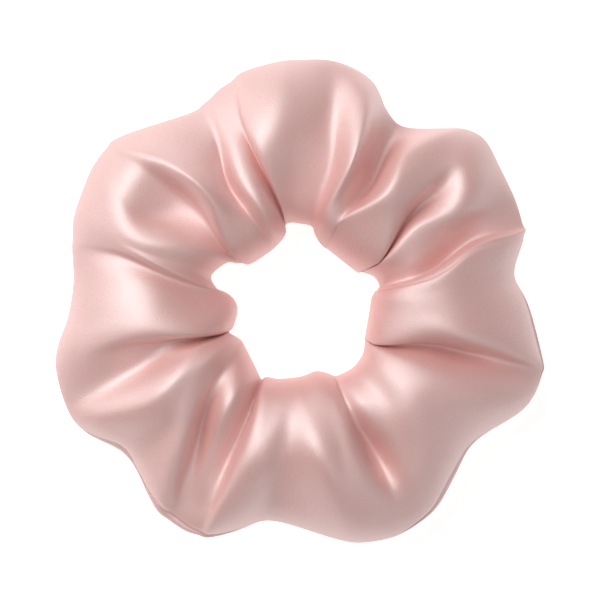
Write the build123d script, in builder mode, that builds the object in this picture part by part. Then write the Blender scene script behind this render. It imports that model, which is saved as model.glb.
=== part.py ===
"""A satin scrunchie: a gathered fabric tube round a loop of flat elastic.

One strip of satin is folded lengthwise and sewn into a tube, its two ends are sewn to each
other, and a short gap in the long seam is closed by hand after the elastic is in. The elastic
is a flat band whose ends overlap and are joined by a zigzag. It lies loose in the tube.

Millimetres, +Z up. The scrunchie lies flat. The origin is the middle of its underside.
"""

import os
from math import cos, pi, radians, sin

from build123d import *

# The ring, measured from the axis of the hole
AXIS_X, AXIS_Y = 0.15, -1.45  # puts the middle of the bounding box over the origin
HOLE_RADIUS = 16.3
LOBES = [(40, 56.2), (92, 55.9), (146, 56.5), (204, 57.0), (245, 56.5), (290, 54.7), (341, 56.4)]
VALLEYS = [(5, 48.2), (57, 47.1), (119, 50.3), (176, 51.3), (221, 50.9), (261, 48.3), (319, 49.3)]
SEAM_HEIGHT = 12.5  # height of the tube's middle, where the long seam runs
LOBE_HALF_HEIGHT = 13.5  # the lowest millimetre of each lobe is pressed flat by the table
VALLEY_HALF_HEIGHT = 10.0

# The cloth
WALL = 0.8  # gathered satin, several thin folds deep
ALLOWANCE_PLIES = 0.8  # two plies of seam allowance
LONG_ALLOWANCE = 7.0
END_ALLOWANCE = 5.0

# The elastic
BAND_RADIUS = 22.6  # to the middle of the band's thickness
BAND_THICKNESS = 1.0
BAND_WIDTH = 6.0
BAND_OVERLAP = 12.0
OVERLAP_GAP = 0.05
BAND_CLEARANCE = 0.3  # the end seam's allowance is trimmed back this far from the band
JOIN_ANGLE = 14  # the middle of the overlap
RAMP = 24  # degrees over which the band's end climbs onto its start

# The thread
THREAD = 0.3
STITCH = 3.4  # from one stitch to the next
STITCH_RUN = 0.86 * STITCH
STITCH_BEND = 0.7 * THREAD
SEAM_INSET = 2.2  # from the outside of the tube to the long seam's stitches
END_INSET = WALL + 0.6  # from the outside of the tube to the end seam's stitches
HAND_GAP = (24.0, 68.0)  # the hand-closed stretch of the long seam, from its start
ZIGZAG_POINTS = 9
ZIGZAG_HALF_WIDTH = 1.9
ZIGZAG_MARGIN = 3  # degrees from each end of the overlap to the zigzag

END_SEAM_ANGLE, END_SEAM_RADIUS = VALLEYS[0]
PUFFS = len(LOBES)
PAST_EVERY_PUFF = 80  # a radius
STATIONS = (-1.0, -0.5, 0.0, 0.5, 1.0)  # along a puff: its two valleys are at -1 and 1
AXIS = (AXIS_X, AXIS_Y, SEAM_HEIGHT)


def upright_plane(angle, origin=(0, 0, 0)):
    """The upright plane at an angle round the axis: x is outwards and y is up."""
    a = radians(angle)
    return Plane(origin=origin, x_dir=(cos(a), sin(a), 0), z_dir=(sin(a), -cos(a), 0))


def ring_point(angle, radius, height=SEAM_HEIGHT):
    a = radians(angle)
    return (AXIS_X + radius * cos(a), AXIS_Y + radius * sin(a), height)


def puff_profile(i):
    """The (angle, outer radius, half height) of puff i at each station from valley to valley."""
    lobe_angle, lobe_radius = LOBES[i]
    start_angle, start_radius = VALLEYS[i]
    end_angle, end_radius = VALLEYS[(i + 1) % PUFFS]
    if end_angle < lobe_angle:
        end_angle += 360
    stations = []
    for share in STATIONS:
        fullness = cos(share * pi / 2)
        valley_angle, valley_radius = (
            (start_angle, start_radius) if share < 0 else (end_angle, end_radius)
        )
        angle = lobe_angle + (valley_angle - lobe_angle) * abs(share)
        radius = valley_radius + (lobe_radius - valley_radius) * fullness
        half_height = VALLEY_HALF_HEIGHT + (LOBE_HALF_HEIGHT - VALLEY_HALF_HEIGHT) * fullness
        stations.append((angle, radius, half_height))
    return stations


def puffed_ring(inset, trim=0.0, inner_radius=None):
    """The ring of puffs, every wall moved inwards by inset, and its outer side by trim more."""
    if inner_radius is None:
        inner_radius = HOLE_RADIUS + inset
    with BuildPart() as ring:
        for i in range(PUFFS):
            for angle, radius, half_height in puff_profile(i):
                outer_radius = radius - inset - trim
                with BuildSketch(upright_plane(angle, AXIS)):
                    with Locations(((inner_radius + outer_radius) / 2, 0)):
                        Ellipse((outer_radius - inner_radius) / 2, half_height - inset)
            loft()
        split(bisect_by=Plane.XY.offset(inset), keep=Keep.TOP)
    return ring.part


def seam_line(inset):
    """The long seam's line, inset from the outside of the tube, from the end seam round to it."""
    with BuildLine() as line:
        for i in range(PUFFS):
            Spline(*[ring_point(angle, radius - inset) for angle, radius, _ in puff_profile(i)])
    return line.wires()[0]


def stitch(leg):
    """One stitch along X: a run of thread on the cloth and two legs of the given length into it."""
    half = STITCH_RUN / 2
    with BuildPart() as one:
        with BuildLine(Plane.XZ) as path:
            FilletPolyline((-half, -leg), (-half, 0), (half, 0), (half, -leg), radius=STITCH_BEND)
        with BuildSketch(Plane(origin=path.line @ 0, z_dir=path.line % 0)):
            Circle(THREAD / 2)
        sweep()
    return one.part


def stitches(one, places):
    """The same stitch at each place, as separate solids in one node."""
    return Compound(children=[copy_of.moved(place) for place in places for copy_of in one.solids()])


def places_along(wire, start, stop, height, flip=False):
    """A place every stitch length along a level wire, standing on top of the cloth or below it."""
    count = int((stop - start) / STITCH)
    places = []
    for i in range(count):
        share = (start + (i + 0.5) * STITCH) / wire.length
        point, turn = wire @ share, wire.tangent_angle_at(share)
        here = Location((point.X, point.Y, SEAM_HEIGHT + height), (0, 0, turn))
        places.append(here * Location((0, 0, 0), (180, 0, 0)) if flip else here)
    return places


# ---- the cover: the tube, with both seam allowances inside it ----

outside = puffed_ring(0)
hollow = puffed_ring(WALL)
inside_of_wall = puffed_ring(WALL / 2)

core = puffed_ring(0, trim=LONG_ALLOWANCE, inner_radius=HOLE_RADIUS - LONG_ALLOWANCE)

with BuildPart() as long_allowance:
    add(inside_of_wall)
    with Locations(AXIS):
        Cylinder(PAST_EVERY_PUFF, ALLOWANCE_PLIES, mode=Mode.INTERSECT)
    add(core, mode=Mode.SUBTRACT)

end_plane = upright_plane(END_SEAM_ANGLE, AXIS)
with BuildPart() as end_allowance:
    with BuildSketch(end_plane):
        middle = (HOLE_RADIUS + END_SEAM_RADIUS) / 2
        half_width = (END_SEAM_RADIUS - HOLE_RADIUS) / 2
        with Locations((middle, 0)):
            Ellipse(half_width - WALL / 2, VALLEY_HALF_HEIGHT - WALL / 2)
            Ellipse(
                half_width - END_ALLOWANCE, VALLEY_HALF_HEIGHT - END_ALLOWANCE, mode=Mode.SUBTRACT
            )
    extrude(amount=ALLOWANCE_PLIES / 2, both=True)
    band_inside = BAND_RADIUS - BAND_THICKNESS / 2 - THREAD - BAND_CLEARANCE
    band_outside = BAND_RADIUS + 1.5 * BAND_THICKNESS + THREAD + 2 * BAND_CLEARANCE
    band_room = BAND_WIDTH + 2 * BAND_CLEARANCE
    with BuildSketch(Plane(origin=(AXIS_X, AXIS_Y, SEAM_HEIGHT - band_room / 2))):
        Circle(band_outside)
        Circle(band_inside, mode=Mode.SUBTRACT)
    extrude(amount=band_room, mode=Mode.SUBTRACT)

with BuildPart() as satin_cover:
    add(outside)
    add(hollow, mode=Mode.SUBTRACT)
    add(long_allowance.part)
    add(end_allowance.part)
satin_cover.part.label = "satin_cover"

# ---- the elastic: one flat band, its ends overlapped ----

half_overlap = BAND_OVERLAP / 2 / BAND_RADIUS * 180 / pi
first_angle, last_angle = JOIN_ANGLE - half_overlap, JOIN_ANGLE + half_overlap
outer_turn = BAND_RADIUS + BAND_THICKNESS + OVERLAP_GAP

with BuildPart() as elastic_band:
    with BuildSketch(Plane(origin=(AXIS_X, AXIS_Y, SEAM_HEIGHT - BAND_WIDTH / 2))):
        with BuildLine() as band_path:
            turn = CenterArc((0, 0), BAND_RADIUS, first_angle, 360 - RAMP)
            end = CenterArc((0, 0), outer_turn, first_angle, 2 * half_overlap)
            Spline(turn @ 1, end @ 0, tangents=[turn % 1, end % 0])
        trace(line_width=BAND_THICKNESS)
    extrude(amount=BAND_WIDTH)

# ---- the zigzag that joins the elastic's ends ----


def zigzag(face_radius, lock_radius):
    """A zigzag of thread on a curved face of the band, with a leg into it at each point."""
    step = (last_angle - first_angle - 2 * ZIGZAG_MARGIN) / (ZIGZAG_POINTS - 1)
    corners = [
        (
            first_angle + ZIGZAG_MARGIN + i * step,
            SEAM_HEIGHT + ZIGZAG_HALF_WIDTH * (1 if i % 2 else -1),
        )
        for i in range(ZIGZAG_POINTS)
    ]
    points = [Vector(*ring_point(angle, face_radius, height)) for angle, height in corners]
    with BuildPart() as thread:
        for start, stop in zip(points, points[1:]):
            with Locations(Plane(origin=(start + stop) / 2, z_dir=stop - start)):
                Cylinder(THREAD / 2, (stop - start).length)
        with Locations(*points):
            Sphere(THREAD / 2)
        for angle, height in corners:
            middle_of_leg = ring_point(angle, (face_radius + lock_radius) / 2, height)
            with Locations(Plane(origin=middle_of_leg, z_dir=upright_plane(angle).x_dir)):
                Cylinder(THREAD / 2, abs(face_radius - lock_radius))
    return thread.part


lock = BAND_RADIUS + (BAND_THICKNESS + OVERLAP_GAP) / 2
outer_face = outer_turn + BAND_THICKNESS / 2 + THREAD / 2
inner_face = BAND_RADIUS - BAND_THICKNESS / 2 - THREAD / 2
elastic_join_needle_thread = zigzag(outer_face, lock)
elastic_join_bobbin_thread = zigzag(inner_face, lock)
elastic_band.part.label = "elastic_band"
elastic_join_needle_thread.label = "elastic_join_needle_thread"
elastic_join_bobbin_thread.label = "elastic_join_bobbin_thread"

# ---- the long seam: a machine lockstitch, and the gap that is closed by hand ----

on_cloth = ALLOWANCE_PLIES / 2 + THREAD / 2
machine_stitch = stitch(on_cloth)
seam = seam_line(SEAM_INSET)
gap_start, gap_stop = HAND_GAP

top_places = places_along(seam, 0, gap_start, on_cloth)
top_places += places_along(seam, gap_stop, seam.length, on_cloth)
long_seam_needle_thread = stitches(machine_stitch, top_places)
long_seam_needle_thread.label = "long_seam_needle_thread"

under_places = places_along(seam, 0, gap_start, -on_cloth, flip=True)
under_places += places_along(seam, gap_stop, seam.length, -on_cloth, flip=True)
long_seam_bobbin_thread = stitches(machine_stitch, under_places)
long_seam_bobbin_thread.label = "long_seam_bobbin_thread"

hand_line = seam_line(WALL + THREAD)
hand_places = places_along(hand_line, gap_start, gap_stop, on_cloth)[::2]
hand_places += places_along(hand_line, gap_start, gap_stop, -on_cloth, flip=True)[1::2]
gap_closing_thread = stitches(machine_stitch, hand_places)
gap_closing_thread.label = "gap_closing_thread"

# ---- the end seam: a lockstitch round the tube's section ----

with BuildLine(end_plane) as end_line:
    EllipticalCenterArc(
        (middle, 0), half_width - END_INSET, VALLEY_HALF_HEIGHT - END_INSET, arc_size=360
    )
end_wire = end_line.wires()[0]
along_ring = end_plane.z_dir
end_count = int(end_wire.length / STITCH)


def end_seam_thread(side):
    """The end seam's stitches on one face of its allowance: side is 1 or -1."""
    places = []
    for i in range(end_count):
        share = (i + 0.5) / end_count
        point = end_wire @ share + along_ring * (side * on_cloth)
        places.append(Plane(origin=point, x_dir=end_wire % share, z_dir=along_ring * side).location)
    return stitches(machine_stitch, places)


end_seam_needle_thread = end_seam_thread(1)
end_seam_needle_thread.label = "end_seam_needle_thread"
end_seam_bobbin_thread = end_seam_thread(-1)
end_seam_bobbin_thread.label = "end_seam_bobbin_thread"

# ---- export ----

os.makedirs("parts", exist_ok=True)
export_step(satin_cover.part, "parts/satin_cover.step")
export_step(elastic_band.part, "parts/elastic_band.step")
for thread in (
    elastic_join_needle_thread,
    elastic_join_bobbin_thread,
    long_seam_needle_thread,
    long_seam_bobbin_thread,
    gap_closing_thread,
    end_seam_needle_thread,
    end_seam_bobbin_thread,
):
    export_step(thread, f"parts/{thread.label}.step")

box = satin_cover.part.bounding_box()
print("cover box", box.min, box.max)
print("long seam length", round(seam.length, 1), "stitches", len(top_places))
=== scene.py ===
"""A pale pink satin scrunchie, lying flat and seen from straight above.

The CAD model is the frame. This script makes the cloth, the elastic and the seams' threads, which
stand in for the CAD's plain ones. The threads that join the elastic are the CAD's own.
Lengths are in millimetres and angles in degrees round the ring from +X, unless a comment says otherwise.
"""

from math import pi

import bpy
import numpy as np
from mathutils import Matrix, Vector


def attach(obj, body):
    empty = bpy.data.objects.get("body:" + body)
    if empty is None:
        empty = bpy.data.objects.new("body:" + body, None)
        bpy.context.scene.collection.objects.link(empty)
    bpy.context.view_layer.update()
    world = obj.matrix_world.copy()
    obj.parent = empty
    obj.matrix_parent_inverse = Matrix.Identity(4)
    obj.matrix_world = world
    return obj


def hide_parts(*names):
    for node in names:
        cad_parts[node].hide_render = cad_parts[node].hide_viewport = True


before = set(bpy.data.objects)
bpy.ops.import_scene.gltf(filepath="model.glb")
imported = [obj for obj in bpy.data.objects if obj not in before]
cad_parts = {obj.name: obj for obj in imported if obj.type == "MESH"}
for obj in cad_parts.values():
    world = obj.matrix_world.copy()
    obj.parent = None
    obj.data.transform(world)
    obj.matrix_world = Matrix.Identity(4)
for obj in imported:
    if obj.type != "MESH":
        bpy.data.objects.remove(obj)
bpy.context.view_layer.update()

MM = 0.001

# ---- the camera, in metres ----

VIEW_WIDTH = 134.2 * MM  # what the picture spans at the scrunchie's middle height
CAMERA_HEIGHT = 1.0
SENSOR = 36.0  # millimetres


def make_camera(middle_height):
    data = bpy.data.cameras.new("camera")
    data.sensor_width = SENSOR
    data.lens = SENSOR * (CAMERA_HEIGHT - middle_height) / VIEW_WIDTH
    camera = bpy.data.objects.new("camera", data)
    camera.location = (0.0, 0.0, CAMERA_HEIGHT)
    bpy.context.collection.objects.link(camera)
    bpy.context.scene.camera = camera


MIDDLE = 12.5  # height of the tube's middle
make_camera(MIDDLE * MM)

# ---- the cover's folds ----

PUFF_HEIGHT = 12.8
# The tube's section is steeper the smaller these are: 0.5 is an ellipse's end.
INNER_ROUNDING = 0.5
OUTER_ROUNDING = 0.66
FULLNESS_POWER = 2.2  # makes the valleys deeper than the fullness in the table
UNDERSIDE_FOLDS = 0.6  # how much of the folds' depth shows on the underside
FULLNESS_AT = (0.0, 0.2, 0.5, 0.8, 1.0)  # from the inner end to the outer one

# Each rib is a line across the tube's top, from the hole to the outer edge, along a ridge or down a
# valley. It has its angle at four distances from the middle of the ring (THETA_AT), how full the tube
# is at the inner, middle and outer part of it, and the radii of its inner and outer ends.
THETA_AT = (19.0, 29.0, 40.0, 51.5)
RIBS = [
    # the right-hand puff, up to its overhanging edge
    ((-8, -6, -4, -1), (1.00, 1.00, 0.96), (15.7, 51.2)),
    ((2, 3, 6, 7), (1.00, 0.99, 0.94), (16.0, 48.4)),
    ((8, 9.7, 16.3, 16), (0.99, 0.97, 0.92), (17.3, 52.6)),
    # the salmon valley and the narrow ridge beyond it
    ((10.5, 12.8, 18.8, 19), (0.78, 0.54, 0.62), (18.0, 52.8)),
    ((17, 21, 24, 25), (0.88, 0.66, 0.70), (17.4, 53.3)),
    ((24, 32, 30.3, 34), (0.93, 0.92, 0.98), (15.2, 53.9)),
    # the deep crease, and the wide ridge that hangs over it
    ((25, 36.5, 38.6, 41), (0.80, 0.70, 0.94), (14.6, 55.0)),
    ((27, 40.5, 43.5, 46), (0.96, 0.95, 0.96), (14.0, 53.4)),
    ((58, 50.8, 54, 49), (1.00, 1.08, 1.02), (12.8, 50.8)),
    # the valley between the two upper lobes
    ((65, 58.8, 60.3, 59), (0.98, 0.70, 0.54), (12.9, 45.2)),
    ((71, 65.5, 66, 65), (1.00, 0.86, 0.76), (13.5, 46.9)),
    # the top lobe, between its two ridges
    ((77, 70.2, 69.3, 71.5), (1.00, 1.07, 1.04), (14.9, 51.8)),
    ((81.3, 77.5, 79.5, 81.5), (0.78, 0.80, 0.80), (16.7, 54.2)),
    ((91, 91, 90, 90), (0.82, 0.92, 0.97), (17.1, 53.9)),
    ((97, 99, 98, 95.5), (0.92, 1.01, 1.03), (17.4, 53.7)),
    ((100.8, 104.6, 106.8, 104), (0.96, 1.00, 0.93), (17.0, 52.9)),
    # the pleats left of it
    ((101.6, 105.7, 108.2, 107.5), (0.76, 0.80, 0.86), (15.3, 51.4)),
    ((105.5, 109.5, 110.8, 110.5), (1.00, 0.91, 0.84), (14.2, 50.8)),
    ((112, 116.5, 114.2, 113.8), (1.07, 0.94, 0.85), (13.3, 49.6)),
    ((119.5, 121.8, 117.6, 116.2), (0.94, 0.78, 0.80), (12.8, 49.0)),
    ((123.5, 124.5, 120.8, 119.5), (0.96, 0.90, 0.86), (12.7, 48.6)),
    # the great curved ridge and the dimple in the upper left lobe
    ((144, 132.5, 132.5, 137), (1.02, 1.10, 1.06), (13.6, 54.3)),
    ((147.5, 139, 140, 142), (0.84, 0.78, 0.98), (15.2, 55.2)),
    ((150, 149, 150, 146.5), (0.92, 0.80, 0.99), (16.3, 55.3)),
    ((155, 157.5, 159.3, 151.5), (1.00, 1.00, 1.00), (18.8, 54.8)),
    ((165, 164, 162.5, 160), (0.97, 0.97, 0.95), (20.6, 54.2)),
    ((171.5, 167.6, 164.2, 164.6), (0.97, 0.98, 0.93), (19.0, 52.9)),
    # the left puff
    ((174, 170, 166.5, 167.5), (0.84, 0.86, 0.86), (16.6, 52.4)),
    ((180, 177, 174, 175), (0.84, 0.94, 0.94), (14.6, 51.0)),
    ((190, 186, 184, 184), (0.94, 1.00, 1.00), (14.1, 52.1)),
    ((202.5, 195.5, 192, 190.5), (1.03, 1.00, 0.96), (16.2, 55.2)),
    # the valley under it, and the broad puff below left
    ((203.5, 198, 195.9, 196), (0.80, 0.78, 0.86), (17.2, 57.0)),
    ((204.3, 203.5, 203, 203.5), (0.95, 0.70, 0.72), (17.3, 57.6)),
    ((206, 210, 214.5, 212), (1.03, 1.04, 0.98), (17.2, 56.4)),
    ((211.5, 216, 223.5, 222), (1.02, 1.00, 0.93), (16.2, 52.1)),
    ((216, 222.5, 230, 234.5), (0.97, 0.92, 0.92), (15.9, 56.6)),
    # the slanting valley, with a small puff at its inner end
    ((221.5, 228, 234.5, 239), (0.90, 0.64, 0.66), (16.2, 57.3)),
    ((238, 236.5, 240, 243.5), (1.04, 0.80, 0.66), (18.3, 57.7)),
    ((243.8, 245.5, 246, 246.5), (0.76, 0.66, 0.74), (19.7, 57.3)),
    # the bottom puff
    ((246.3, 249.2, 249.8, 249.4), (0.98, 0.97, 0.92), (18.7, 56.8)),
    ((254, 256, 256, 255), (1.00, 1.02, 0.96), (18.3, 53.4)),
    ((265, 265, 264, 262), (0.98, 0.96, 0.88), (17.4, 49.9)),
    ((274, 277, 279, 280), (1.03, 1.08, 1.02), (16.8, 54.9)),
    ((284, 285, 285, 285), (1.00, 1.02, 1.00), (16.2, 56.3)),
    ((292.5, 290.5, 290.5, 290.5), (0.98, 0.97, 0.95), (17.9, 57.1)),
    # the valley right of it, and the broad puff below right
    ((294.3, 294.8, 296, 297.5), (0.88, 0.62, 0.84), (18.6, 56.6)),
    ((299, 301, 303, 303.5), (0.96, 0.84, 0.93), (18.9, 55.6)),
    ((309, 311, 311, 311), (0.95, 0.98, 0.96), (19.1, 52.6)),
    ((319, 320, 320, 320.5), (0.99, 1.02, 0.97), (18.5, 50.3)),
    ((327, 331, 333, 334), (0.95, 0.95, 0.97), (17.2, 56.0)),
    # the valley under the right-hand puff
    ((329.5, 340, 342.5, 343), (0.74, 0.56, 0.68), (16.9, 56.7)),
    ((331, 344.3, 347, 347), (0.98, 1.00, 0.95), (16.6, 55.6)),
]
COLUMNS = 720  # round the ring
ROWS = 160  # round the tube
STRIP_LENGTH = 360.0
STRIP_WIDTH = 88.0
CLOTH = 0.25  # thickness
ROUNDING_PASSES = 22
RIDGE_SOFTENING = 0.5
CREASE_SOFTENING = 0.08
ABOVE_FLOOR = 0.05
END_RIB = 2  # the rib that the end seam runs along

# The settling, in the simulation's own units
SIM_SCALE = 0.1
SIM_FRAMES = 12
SIM_REACH = 1.0  # millimetres
SIM_SMOOTHING = 3  # passes
LEAST_HOLD = 0.1

# The ring's axis passes through the middle of the hole.
RING_AXIS = np.array([0.15, -1.45, 0.0])
UP = np.array([0.0, 0.0, 1.0])

# The seams. The long seam is rolled up into view at some angles: each has its angle, its spread
# and, in radians, how far round the tube the seam is rolled.
SEAM_ROLLED_UP = [(219, 6, 0.30), (240, 12, 0.36), (309, 12, 0.30), (352, 10, 0.16)]
SEAM_DEPTH = 0.5
SEAM_SPREAD = 0.07  # radians round the tube
END_SEAM_DEPTH = 0.25
END_SEAM_SPREAD = 2.2  # columns
ALLOWANCE = 7.0
ALLOWANCE_START = 0.3  # from the cloth's inner face
ALLOWANCE_WAVES = 23
ALLOWANCE_WAVE_HEIGHT = 0.25
PLY_OFFSET = 0.2  # of each ply from the seam's own plane
END_ALLOWANCE = 5.0
END_ALLOWANCE_SHARE = 0.6  # the most of the way to the section's middle that it reaches
SECTION_INSET = 0.1
ELASTIC_ROOM = 27.0  # the end seam is open nearer the ring's axis than this
STITCH = 3.4
STITCH_HALF_RUN = STITCH * 0.43
STITCH_BEND = 0.12
THREAD = 0.3
THREAD_SIDES = 6
LEG = 0.35  # a stitch's leg, and its distance from the seam's plane
TANGENT_REACH = 0.3
LONG_SEAM_INSET = 1.3
HAND_SEAM_INSET = 0.5
END_SEAM_INSET = 0.06  # as a share of the way to the section's middle
GAP = (24.0, 68.0)  # the part of the long seam closed by hand, measured along it

# The elastic
BAND_RADIUS = 22.6
BAND_THICKNESS = 1.0
BAND_WIDTH = 6.0
BAND_STEPS = 720
JOIN_ANGLE = 14.0
HALF_OVERLAP = 15.2
RAMP = 24.0
CLIMB = 1.05
CORDS = 7
STEPS_PER_CORD = 8
CORD_RELIEF = 0.18
EDGE_SQUARENESS = 24


def smooth_through(x, xs, ys):
    """ys at xs, joined by a smooth curve and read at x."""
    xs, ys = np.asarray(xs, float), np.asarray(ys, float)
    slopes = np.gradient(ys, xs)
    i = np.clip(np.searchsorted(xs, x) - 1, 0, len(xs) - 2)
    gap = xs[i + 1] - xs[i]
    t = np.clip((x - xs[i]) / gap, 0, 1)
    a, b = ys[i], ys[i + 1]
    return (
        (2 * t**3 - 3 * t**2 + 1) * a
        + (t**3 - 2 * t**2 + t) * gap * slopes[i]
        + (3 * t**2 - 2 * t**3) * b
        + (t**3 - t**2) * gap * slopes[i + 1]
    )


def rib_curve(rib):
    """One rib's closed line round the tube: ROWS points, from the inner edge over the top."""
    thetas, fullness, (inner, outer) = rib
    phi = np.arange(ROWS) / ROWS * 2 * pi
    share = (1 - np.cos(phi)) / 2
    radius = inner + (outer - inner) * share
    theta = smooth_through(np.clip(radius, THETA_AT[0], THETA_AT[-1]), THETA_AT, thetas)
    full = smooth_through(share, FULLNESS_AT, (fullness[0], *fullness, fullness[2]))
    full = np.clip(full, 0, None) ** FULLNESS_POWER
    side = np.where(phi <= pi, 1.0, -1.0)
    full = np.where(side > 0, full, 1 - UNDERSIDE_FOLDS * (1 - full))
    crest = INNER_ROUNDING / (INNER_ROUNDING + OUTER_ROUNDING)
    peak = crest**INNER_ROUNDING * (1 - crest) ** OUTER_ROUNDING
    profile = share**INNER_ROUNDING * np.clip(1 - share, 0, 1) ** OUTER_ROUNDING / peak
    height = PUFF_HEIGHT * profile * full * side
    a = np.radians(theta)
    return np.stack([radius * np.cos(a), radius * np.sin(a), MIDDLE + height], axis=1)


def rib_knots(ribs):
    """Where each rib lies along the ring, for spreading the columns, and the whole ring's length."""
    middle = ribs[:, ROWS // 4]
    steps = np.linalg.norm(np.roll(middle, -1, axis=0) - middle, axis=1) ** 0.5
    return np.concatenate([[0], np.cumsum(steps)])


def cover_grid(ribs):
    """The cloth's points in millimetres: COLUMNS round the ring and ROWS round the tube."""
    count = len(ribs)
    knots = rib_knots(ribs)
    t = np.arange(COLUMNS) / COLUMNS * knots[-1]
    i = np.searchsorted(knots, t, side="right") - 1

    def knot(k):
        turns, rest = np.divmod(k, count)
        return knots[rest] + turns * knots[-1]

    def mix(a, b, ta, tb):
        w = ((t - ta) / (tb - ta))[:, None, None]
        return a * (1 - w) + b * w

    t0, t1, t2, t3 = knot(i - 1), knot(i), knot(i + 1), knot(i + 2)
    p0, p1, p2, p3 = (ribs[(i + step) % count] for step in (-1, 0, 1, 2))
    a1, a2, a3 = mix(p0, p1, t0, t1), mix(p1, p2, t1, t2), mix(p2, p3, t2, t3)
    b1, b2 = mix(a1, a2, t0, t2), mix(a2, a3, t1, t3)
    return mix(b1, b2, t1, t2)


def grid_faces(columns, rows, closed=(True, True), first=0):
    """Faces joining a grid of points that is closed round the ring, round the tube, or both."""
    i, j = np.meshgrid(
        np.arange(columns if closed[0] else columns - 1),
        np.arange(rows if closed[1] else rows - 1),
        indexing="ij",
    )
    ni, nj = (i + 1) % columns, (j + 1) % rows
    faces = np.stack([i * rows + j, i * rows + nj, ni * rows + nj, ni * rows + j], axis=-1)
    return faces.reshape(-1, 4) + first


def tube_faces(sections, sides, first):
    """Faces of a tube with its two ends closed."""
    faces = grid_faces(sections, sides, (False, True), first).tolist()
    faces.append([first + j for j in range(sides)])
    faces.append([first + (sections - 1) * sides + j for j in reversed(range(sides))])
    return faces


def grid_normals(grid):
    across = np.roll(grid, -1, axis=1) - np.roll(grid, 1, axis=1)
    along = np.roll(grid, -1, axis=0) - np.roll(grid, 1, axis=0)
    normals = np.cross(across, along)
    return normals / np.maximum(np.linalg.norm(normals, axis=2, keepdims=True), 1e-9)


def add_object(name, points, faces, material):
    """A smooth mesh object from points in millimetres."""
    mesh = bpy.data.meshes.new(name)
    mesh.from_pydata((points.reshape(-1, 3) * MM).tolist(), [], faces)
    mesh.polygons.foreach_set("use_smooth", [True] * len(mesh.polygons))
    mesh.materials.append(material)
    mesh.update()
    obj = bpy.data.objects.new(name, mesh)
    bpy.context.collection.objects.link(obj)
    return obj


def settled(grid):
    """The cloth after a short simulation, in which air swells it a little.

    It is held along the gathered inner edge and the long seam, and no point moves far.
    """
    coarse = grid[::2, ::2]
    columns, rows = coarse.shape[:2]
    mesh = bpy.data.meshes.new("settling")
    faces = grid_faces(columns, rows).tolist()
    mesh.from_pydata((coarse.reshape(-1, 3) * SIM_SCALE).tolist(), [], faces)
    cloth = bpy.data.objects.new("settling", mesh)
    bpy.context.collection.objects.link(cloth)
    phi = np.tile(np.arange(rows) / rows * 2 * pi, columns)
    hold = np.round(np.cos(phi) ** 2 * (1 - LEAST_HOLD) + LEAST_HOLD, 3)
    group = cloth.vertex_groups.new(name="held")
    for weight in np.unique(hold):
        group.add(np.flatnonzero(hold == weight).tolist(), float(weight), "REPLACE")
    modifier = cloth.modifiers.new("cloth", "CLOTH")
    settings = modifier.settings
    settings.quality = 6
    settings.mass = 0.02
    settings.tension_stiffness = 25
    settings.compression_stiffness = 15
    settings.shear_stiffness = 8
    settings.bending_stiffness = 6.0
    settings.air_damping = 2.0
    settings.shrink_min = 0.0
    settings.vertex_group_mass = "held"
    settings.pin_stiffness = 1.0
    settings.use_pressure = True
    settings.uniform_pressure_force = 0.25
    settings.effector_weights.gravity = 0
    modifier.collision_settings.use_collision = False
    modifier.point_cache.frame_start = 1
    modifier.point_cache.frame_end = SIM_FRAMES
    for step in range(1, SIM_FRAMES + 1):
        bpy.context.scene.frame_set(step)
    result = cloth.evaluated_get(bpy.context.evaluated_depsgraph_get())
    moved = np.empty(columns * rows * 3, np.float32)
    result.data.vertices.foreach_get("co", moved)
    bpy.data.objects.remove(cloth)
    bpy.context.scene.frame_set(1)
    shift = moved.reshape(columns, rows, 3) / SIM_SCALE - coarse
    far = np.linalg.norm(shift, axis=2, keepdims=True)
    shift *= np.minimum(1, SIM_REACH / np.maximum(far, 1e-9))
    for _ in range(SIM_SMOOTHING):
        for axis in (0, 1):
            shift = shift / 2 + (np.roll(shift, 1, axis) + np.roll(shift, -1, axis)) / 4
    fine = np.empty_like(grid)
    fine[::2, ::2] = shift
    fine[1::2, ::2] = (shift + np.roll(shift, -1, axis=0)) / 2
    fine[:, 1::2] = (fine[:, ::2] + np.roll(fine[:, ::2], -1, axis=1)) / 2
    return grid + fine


def round_ridges(grid):
    """Rounds the ridges and leaves the creases sharper, as satin lies."""
    for _ in range(ROUNDING_PASSES):
        toward = (np.roll(grid, 1, axis=0) + np.roll(grid, -1, axis=0)) / 2 - grid
        normals = grid_normals(grid)
        drop = np.sum(toward * normals, axis=2, keepdims=True)
        softening = np.where(drop < 0, RIDGE_SOFTENING, CREASE_SOFTENING)
        grid = grid + normals * drop * softening
    return grid


def sew_in(grid):
    """Draws the cloth in along both seams, and flattens it where it rests.

    It also gives the row that the long seam runs along, for each column.
    """
    normals = grid_normals(grid)
    theta = np.degrees(np.arctan2(grid[:, ROWS // 2, 1], grid[:, ROWS // 2, 0])) % 360
    lift = np.zeros(COLUMNS)
    for middle, spread, angle in SEAM_ROLLED_UP:
        away = (theta - middle + 180) % 360 - 180
        lift = np.maximum(lift, angle * np.exp(-((away / spread) ** 2)))
    seam_at = pi - lift
    phi = np.arange(ROWS) / ROWS * 2 * pi
    from_seam = (phi[None, :] - seam_at[:, None]) / SEAM_SPREAD
    depth = SEAM_DEPTH * np.exp(-(from_seam**2))
    column = np.arange(COLUMNS)[:, None]
    from_end = (column - END_SEAM_COLUMN) / END_SEAM_SPREAD
    depth = depth + END_SEAM_DEPTH * np.exp(-(from_end**2))
    grid = grid - normals * depth[..., None]
    grid[..., 2] = np.maximum(grid[..., 2], ABOVE_FLOOR)
    return grid, np.round(seam_at / (2 * pi) * ROWS).astype(int)


# ---- materials ----


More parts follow.
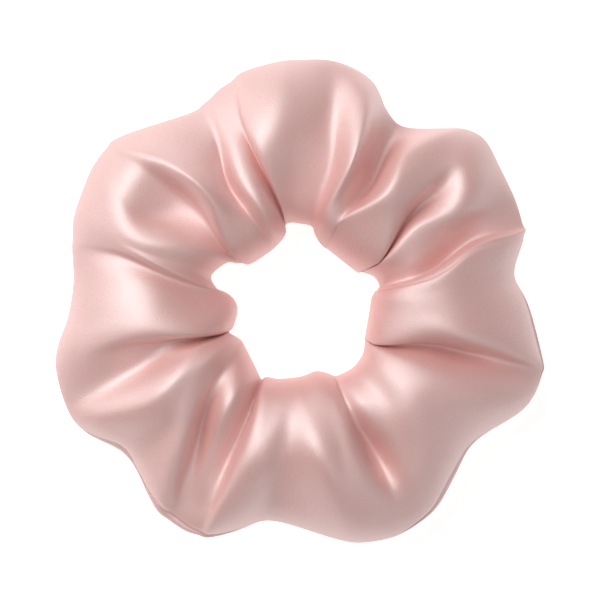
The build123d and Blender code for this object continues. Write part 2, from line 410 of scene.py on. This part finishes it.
def satin():
    """Satin: pink, with the broad white gloss of its floating threads."""
    material = bpy.data.materials.new("satin")
    material.use_nodes = True
    nodes, links = material.node_tree.nodes, material.node_tree.links
    shader = nodes["Principled BSDF"]
    shader.inputs["Roughness"].default_value = 0.56
    shader.inputs["Specular IOR Level"].default_value = 1.0
    shader.inputs["IOR"].default_value = 2.8
    shader.inputs["Anisotropic"].default_value = 0.3
    cloth = nodes.new("ShaderNodeUVMap")
    cloth.uv_map = "cloth"
    stretch = nodes.new("ShaderNodeMapping")
    stretch.inputs["Scale"].default_value = (2.4, 5.0, 1.0)
    threads = nodes.new("ShaderNodeTexNoise")
    threads.inputs["Scale"].default_value = 1.0
    threads.inputs["Detail"].default_value = 2.0
    threads.inputs["Roughness"].default_value = 0.6
    links.new(cloth.outputs["UV"], stretch.inputs["Vector"])
    links.new(stretch.outputs["Vector"], threads.inputs["Vector"])
    tone = nodes.new("ShaderNodeValToRGB")
    tone.color_ramp.elements[0].position = 0.3
    tone.color_ramp.elements[0].color = (0.66, 0.235, 0.195, 1)
    tone.color_ramp.elements[1].position = 0.7
    tone.color_ramp.elements[1].color = (0.82, 0.355, 0.315, 1)
    links.new(threads.outputs["Fac"], tone.inputs["Fac"])
    links.new(tone.outputs["Color"], shader.inputs["Base Color"])
    bump = nodes.new("ShaderNodeBump")
    bump.inputs["Strength"].default_value = 1.0
    bump.inputs["Distance"].default_value = 0.00008
    links.new(threads.outputs["Fac"], bump.inputs["Height"])
    links.new(bump.outputs["Normal"], shader.inputs["Normal"])
    along = nodes.new("ShaderNodeTangent")
    along.direction_type = "UV_MAP"
    along.uv_map = "cloth"
    links.new(along.outputs["Tangent"], shader.inputs["Tangent"])
    return material


def thread_material(name, colour):
    """Spun thread: matt, with a fine twist."""
    material = bpy.data.materials.new(name)
    material.use_nodes = True
    nodes, links = material.node_tree.nodes, material.node_tree.links
    shader = nodes["Principled BSDF"]
    shader.inputs["Base Color"].default_value = colour
    shader.inputs["Roughness"].default_value = 0.6
    place = nodes.new("ShaderNodeTexCoord")
    twist = nodes.new("ShaderNodeTexWave")
    twist.bands_direction = "DIAGONAL"
    twist.inputs["Scale"].default_value = 1600.0
    twist.inputs["Distortion"].default_value = 1.0
    links.new(place.outputs["Object"], twist.inputs["Vector"])
    bump = nodes.new("ShaderNodeBump")
    bump.inputs["Strength"].default_value = 0.6
    bump.inputs["Distance"].default_value = 0.00004
    links.new(twist.outputs["Fac"], bump.inputs["Height"])
    links.new(bump.outputs["Normal"], shader.inputs["Normal"])
    return material


def elastic_material():
    """Knitted elastic: off-white, with fine rows of knitting across its lengthwise cords."""
    material = bpy.data.materials.new("elastic")
    material.use_nodes = True
    nodes, links = material.node_tree.nodes, material.node_tree.links
    shader = nodes["Principled BSDF"]
    shader.inputs["Roughness"].default_value = 0.75
    place = nodes.new("ShaderNodeTexCoord")
    knit = nodes.new("ShaderNodeTexVoronoi")
    knit.inputs["Scale"].default_value = 2200.0
    links.new(place.outputs["Object"], knit.inputs["Vector"])
    tone = nodes.new("ShaderNodeValToRGB")
    tone.color_ramp.elements[0].color = (0.90, 0.88, 0.84, 1)
    tone.color_ramp.elements[1].color = (0.72, 0.70, 0.66, 1)
    links.new(knit.outputs["Distance"], tone.inputs["Fac"])
    links.new(tone.outputs["Color"], shader.inputs["Base Color"])
    bump = nodes.new("ShaderNodeBump")
    bump.inputs["Strength"].default_value = 0.5
    bump.inputs["Distance"].default_value = 0.0001
    bump.invert = True
    links.new(knit.outputs["Distance"], bump.inputs["Height"])
    links.new(bump.outputs["Normal"], shader.inputs["Normal"])
    return material


satin_look = satin()
thread_look = thread_material("sewing_thread", (0.80, 0.50, 0.47, 1))
join_thread_look = thread_material("elastic_thread", (0.86, 0.84, 0.80, 1))
elastic_look = elastic_material()

# ---- the cover ----

rib_lines = np.array([rib_curve(rib) for rib in RIBS])
knots = rib_knots(rib_lines)
END_SEAM_COLUMN = int(round(knots[END_RIB] / knots[-1] * COLUMNS))
outside = round_ridges(cover_grid(rib_lines))
outside = settled(outside)
outside, seam_row = sew_in(outside)
inside = (outside - CLOTH * grid_normals(outside))[::2, ::2]


def make_cover():
    """The tube of satin: its outer surface, and its inner one as a coarser grid."""
    columns, rows = inside.shape[:2]
    outer_faces = grid_faces(COLUMNS, ROWS)
    inner_faces = grid_faces(columns, rows, first=COLUMNS * ROWS)[:, ::-1]
    points = np.concatenate([outside.reshape(-1, 3), inside.reshape(-1, 3)])
    faces = np.concatenate([outer_faces, inner_faces]).tolist()
    obj = add_object("satin_cloth", points, faces, satin_look)

    def corners(columns, rows):
        i, j = np.meshgrid(np.arange(columns), np.arange(rows), indexing="ij")
        around = np.stack([i, i, i + 1, i + 1], axis=-1) * STRIP_LENGTH / columns
        across = np.stack([j, j + 1, j + 1, j], axis=-1) * STRIP_WIDTH / rows
        return np.stack([around, across], axis=-1).reshape(-1, 4, 2)

    uv = np.concatenate([corners(COLUMNS, ROWS), corners(columns, rows)[:, ::-1]])
    layer = obj.data.uv_layers.new(name="cloth")
    layer.data.foreach_set("uv", uv.reshape(-1).astype(np.float32))
    return obj


cover = make_cover()

# ---- inside the cover: the seam allowances ----

columns_all = np.arange(COLUMNS)
seam_line = outside[columns_all, seam_row]
inwards = -(seam_line - RING_AXIS) * (1, 1, 0)
inwards /= np.linalg.norm(inwards, axis=1, keepdims=True)
inset = grid_normals(outside)[END_SEAM_COLUMN] * (CLOTH + SECTION_INSET)
section = outside[END_SEAM_COLUMN] - inset
section_middle = section.mean(axis=0)
away_from_axis = np.linalg.norm((section - RING_AXIS)[:, :2], axis=1)
end_seam_line = section[away_from_axis > ELASTIC_ROOM]


def long_allowance(side):
    """One ply of the long seam's allowance, a strip with a slight wave."""
    steps = np.linspace(0, 1, 8)
    wave = np.sin(columns_all / COLUMNS * 2 * pi * ALLOWANCE_WAVES)[:, None]
    reach = CLOTH + ALLOWANCE_START + ALLOWANCE * steps
    points = seam_line[:, None] + inwards[:, None] * reach[None, :, None]
    points[..., 2] += side * PLY_OFFSET + wave * ALLOWANCE_WAVE_HEIGHT * steps
    return points


def allowance_strip(name, ply, closed):
    """A seam allowance's two plies, one on each side of the seam."""
    plies = np.stack([ply(1), ply(-1)])
    columns, rows = plies.shape[1:3]
    faces = [grid_faces(columns, rows, closed, first=k * columns * rows) for k in (0, 1)]
    return add_object(name, plies, np.concatenate(faces).tolist(), satin_look)


def across_end_seam():
    """The direction square to the end seam's plane."""
    to_middle = section_middle - end_seam_line
    across = np.cross(to_middle[0], to_middle[len(end_seam_line) // 4])
    return across / np.linalg.norm(across)


def end_allowance(side):
    """One ply of the end seam's allowance, open where the elastic passes."""
    to_middle = section_middle - end_seam_line
    distance = np.linalg.norm(to_middle, axis=1)
    to_middle /= distance[:, None]
    steps = np.linspace(0, 1, 6)
    reach = np.minimum(END_ALLOWANCE, distance * END_ALLOWANCE_SHARE)
    inward = to_middle[:, None] * (reach[:, None] * steps)[..., None]
    return end_seam_line[:, None] + inward + across_end_seam() * side * PLY_OFFSET


long_seam_plies = allowance_strip("long_seam_allowance", long_allowance, (True, False))
end_seam_plies = allowance_strip("end_seam_allowance", end_allowance, (False, False))

# ---- the threads ----


def even_places(line, spacing, closed, start=0.0, stop=None):
    """(point, direction) pairs at even distances along a line of points."""
    if closed:
        line = np.concatenate([line, line[:1]])
    lengths = np.concatenate([[0], np.cumsum(np.linalg.norm(np.diff(line, axis=0), axis=1))])
    stop = lengths[-1] if stop is None else stop
    count = int((stop - start) / spacing)
    at = start + (np.arange(count) + 0.5) * spacing

    def read(distance):
        return np.stack([np.interp(distance, lengths, line[:, k]) for k in range(3)], axis=1)

    ahead = read(at + TANGENT_REACH) - read(at - TANGENT_REACH)
    return read(at), ahead / np.linalg.norm(ahead, axis=1, keepdims=True)


def stitch_tubes(name, points, along, up):
    """Stitches as separate tubes: each has a run on the cloth and two legs down into it."""
    half_run = STITCH_HALF_RUN
    bend = STITCH_HALF_RUN - STITCH_BEND
    path = np.array([
        (-half_run, -LEG),
        (-half_run, -0.05),
        (-bend, 0.06),
        (0, 0.1),
        (bend, 0.06),
        (half_run, -0.05),
        (half_run, -LEG),
    ])
    aside = np.cross(along, up)
    turn = np.arange(THREAD_SIDES) / THREAD_SIDES * 2 * pi
    slope = np.gradient(path, axis=0)
    slope /= np.linalg.norm(slope, axis=1, keepdims=True)
    radius = THREAD / 2
    rings = []
    for (x, z), (dx, dz) in zip(path, slope):
        centre = points + along * x + up * z
        out = up * dx - along * dz
        round_it = aside[:, None] * np.cos(turn)[:, None] + out[:, None] * np.sin(turn)[:, None]
        rings.append(centre[:, None] + radius * round_it)
    tubes = np.stack(rings, axis=1)
    count, sections, sides = tubes.shape[:3]
    faces = []
    for k in range(count):
        faces += tube_faces(sections, sides, k * sections * sides)
    return add_object(name, tubes, faces, thread_look)


stitch_line = seam_line + inwards * (CLOTH + LONG_SEAM_INSET)
hand_line = seam_line + inwards * (CLOTH + HAND_SEAM_INSET)
to_next = np.diff(stitch_line, axis=0, append=stitch_line[:1])
kept_columns = np.linalg.norm(to_next, axis=1) > 1e-6
stitch_line = np.roll(stitch_line[kept_columns], -END_SEAM_COLUMN, axis=0)
hand_line = np.roll(hand_line[kept_columns], -END_SEAM_COLUMN, axis=0)


def long_seam_stitches(name, side):
    """One thread of the long seam: side is 1 for the needle thread and -1 for the bobbin thread."""
    before = even_places(stitch_line, STITCH, True, 0, GAP[0])
    after = even_places(stitch_line, STITCH, True, GAP[1])
    points = np.concatenate([before[0], after[0]])
    along = np.concatenate([before[1], after[1]])
    up = np.broadcast_to(UP * side, points.shape)
    return stitch_tubes(name, points + up * LEG, along, up)


def gap_stitches():
    """The hand sewing, which lies on the two sides of the seam by turns."""
    points, along = even_places(hand_line, STITCH, True, *GAP)
    up = np.where(np.arange(len(points)) % 2, -1.0, 1.0)[:, None] * UP
    return stitch_tubes("gap_closing_stitches", points + up * LEG, along, up)


def end_seam_stitches(name, side):
    """One thread of the end seam: side is 1 for the needle thread and -1 for the bobbin thread."""
    line = end_seam_line + (section_middle - end_seam_line) * END_SEAM_INSET
    points, along = even_places(line, STITCH, False)
    up = np.broadcast_to(across_end_seam() * side, points.shape)
    return stitch_tubes(name, points + up * LEG, along, up)


needle = long_seam_stitches("long_seam_needle_stitches", 1)
bobbin = long_seam_stitches("long_seam_bobbin_stitches", -1)
by_hand = gap_stitches()
end_needle = end_seam_stitches("end_seam_needle_stitches", 1)
end_bobbin = end_seam_stitches("end_seam_bobbin_stitches", -1)

# ---- the elastic ----


def make_elastic():
    """A flat knitted band whose end lies over its start, with lengthwise cords."""
    start = JOIN_ANGLE - HALF_OVERLAP
    turn = np.linspace(start, JOIN_ANGLE + HALF_OVERLAP + 360, BAND_STEPS)
    t = np.clip((turn - (start + 360 - RAMP)) / RAMP, 0, 1)
    radius = BAND_RADIUS + CLIMB * (3 * t**2 - 2 * t**3)
    across = np.linspace(-1, 1, CORDS * STEPS_PER_CORD + 1)
    relief = np.abs(np.sin((across + 1) / 2 * pi * CORDS))
    cord = 1 - CORD_RELIEF + CORD_RELIEF * relief
    edge = np.sqrt(np.clip(1 - across**EDGE_SQUARENESS, 0, 1))
    half = BAND_THICKNESS / 2 * cord * edge
    height = np.concatenate([across, across[::-1][1:-1]]) * BAND_WIDTH / 2
    depth = np.concatenate([half, -half[::-1][1:-1]])
    a = np.radians(turn)[:, None]
    out = radius[:, None] + depth[None, :]
    x = RING_AXIS[0] + out * np.cos(a)
    y = RING_AXIS[1] + out * np.sin(a)
    points = np.stack([x, y, np.broadcast_to(MIDDLE + height, out.shape)], axis=-1)
    return add_object("knitted_elastic", points, tube_faces(BAND_STEPS, len(height), 0), elastic_look)


elastic = make_elastic()
for node in ("elastic_join_needle_thread", "elastic_join_bobbin_thread"):
    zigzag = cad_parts[node]
    zigzag.data.materials.clear()
    zigzag.data.materials.append(join_thread_look)

# ---- the stage ----


def make_stage():
    """A pale floor that glows a little, an even grey-white surround and two soft lights, in metres."""
    mesh = bpy.data.meshes.new("floor")
    half = 2.0
    corners = [(-half, -half, 0), (half, -half, 0), (half, half, 0), (-half, half, 0)]
    mesh.from_pydata(corners, [], [(0, 1, 2, 3)])
    floor = bpy.data.objects.new("floor", mesh)
    bpy.context.collection.objects.link(floor)
    material = bpy.data.materials.new("floor")
    material.use_nodes = True
    shader = material.node_tree.nodes["Principled BSDF"]
    shader.inputs["Base Color"].default_value = (0.93, 0.93, 0.93, 1)
    shader.inputs["Emission Color"].default_value = (1, 1, 1, 1)
    shader.inputs["Emission Strength"].default_value = 0.60
    shader.inputs["Roughness"].default_value = 0.9
    shader.inputs["Specular IOR Level"].default_value = 0.0
    mesh.materials.append(material)

    world = bpy.data.worlds.new("world")
    bpy.context.scene.world = world
    world.use_nodes = True
    background = world.node_tree.nodes["Background"]
    background.inputs["Color"].default_value = (1, 1, 1, 1)
    background.inputs["Strength"].default_value = 0.24

    def area(name, location, size, power):
        data = bpy.data.lights.new(name, "AREA")
        data.shape = "RECTANGLE"
        data.size, data.size_y = size
        data.energy = power
        light = bpy.data.objects.new(name, data)
        light.location = location
        light.rotation_euler = (-Vector(location)).to_track_quat("-Z", "Y").to_euler()
        bpy.context.collection.objects.link(light)

    area("key", (-0.45, 0.42, 0.75), (0.75, 0.75), 7.7)
    area("fill", (0.40, -0.45, 0.80), (0.7, 0.7), 1.3)
    bpy.context.scene.view_settings.view_transform = "Standard"


make_stage()

# ---- what rides on what ----

for piece, node in (
    (cover, "satin_cover"),
    (long_seam_plies, None),
    (end_seam_plies, None),
    (needle, "long_seam_needle_thread"),
    (bobbin, "long_seam_bobbin_thread"),
    (by_hand, "gap_closing_thread"),
    (end_needle, "end_seam_needle_thread"),
    (end_bobbin, "end_seam_bobbin_thread"),
):
    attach(piece, "cover")
    if node:
        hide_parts(node)
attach(elastic, "elastic_loop")
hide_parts("elastic_band")
